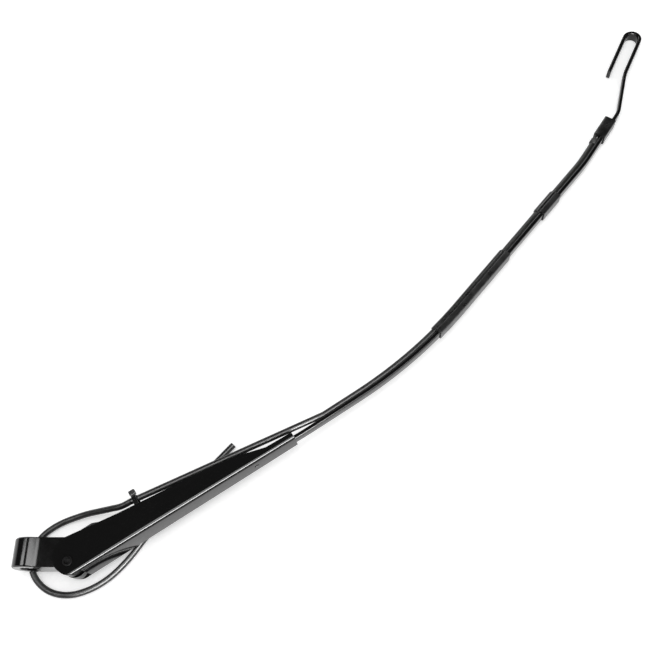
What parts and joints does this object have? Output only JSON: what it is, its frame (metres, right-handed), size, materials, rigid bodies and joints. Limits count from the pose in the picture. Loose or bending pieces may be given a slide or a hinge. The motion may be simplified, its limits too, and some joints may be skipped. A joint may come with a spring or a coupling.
{
  "type": "wiper arm",
  "caption": "Heavy-duty windscreen wiper arm: cast spindle head, sprung folded channel, swept flat rod with a hook end, and a washer hose with clips and nozzle block.",
  "frame": {"origin": "on the axis of the spindle bore, at the middle of the bore's straight wall", "axes": "+Y along the spindle bore towards the glass, +Z along the pivot's axis, up from the surface the arm lies on, +X from the spindle to the pivot"},
  "size_m": [0.6749, 0.6587, 0.0434],
  "materials": {
    "cast_black": "gloss black paint on a casting",
    "bronze": "sintered bronze, oiled",
    "rivet_steel": "black painted steel rivet, worn rim",
    "washer_steel": "zinc-plated steel",
    "channel_black": "gloss black powder coat on folded steel",
    "rod_black": "semi-gloss black paint on flat bar",
    "rivet_black": "black painted rivet",
    "spring_steel": "dark phosphated spring wire",
    "link_steel": "dark phosphated steel",
    "pin_steel": "plain steel pin",
    "hose_rubber": "matt black rubber hose",
    "clip_plastic": "matt black moulded nylon",
    "block_plastic": "matt black moulded nylon",
    "jet_metal": "small metal jet",
    "barb_plastic": "moulded hose barb",
    "sleeve_rubber": "black rubber sleeve",
    "tie_nylon": "black nylon cable tie"
  },
  "bodies": {
    "head": {"head": "cast_black", "pivot_bush": "bronze", "link_pin": "pin_steel"},
    "arm": {"channel": "channel_black", "pivot_pin": "rivet_steel", "pivot_washers": "washer_steel", "rod": "rod_black", "rod_rivet": "rivet_black", "spring": "spring_steel", "hose": "hose_rubber", "hose_tail": "hose_rubber", "long_clip": "clip_plastic", "short_clip": "clip_plastic", "nozzle_block": "block_plastic", "nozzle_jet": "jet_metal", "hose_barb": "barb_plastic", "barb_sleeve": "sleeve_rubber", "tie_strap": "tie_nylon", "tie_head": "tie_nylon"},
    "link": {"spring_link": "link_steel"}
  },
  "joints": [
    {"name": "arm_fold", "type": "hinge", "parent": "head", "child": "arm", "pos_m": [0.0435, -0.009, 0], "axis": [0, 0, 1], "range_deg": [-75, 0], "deforming": ["spring"]},
    {"name": "link_swing", "type": "hinge", "parent": "head", "child": "link", "pos_m": [0.03472, 0.00059, 0], "axis": [0, 0, 1], "range_deg": [-72, 0]}
  ],
  "couplings": [
    {"joint": "link_swing", "follows": "arm_fold", "ratio": 0.947}
  ]
}
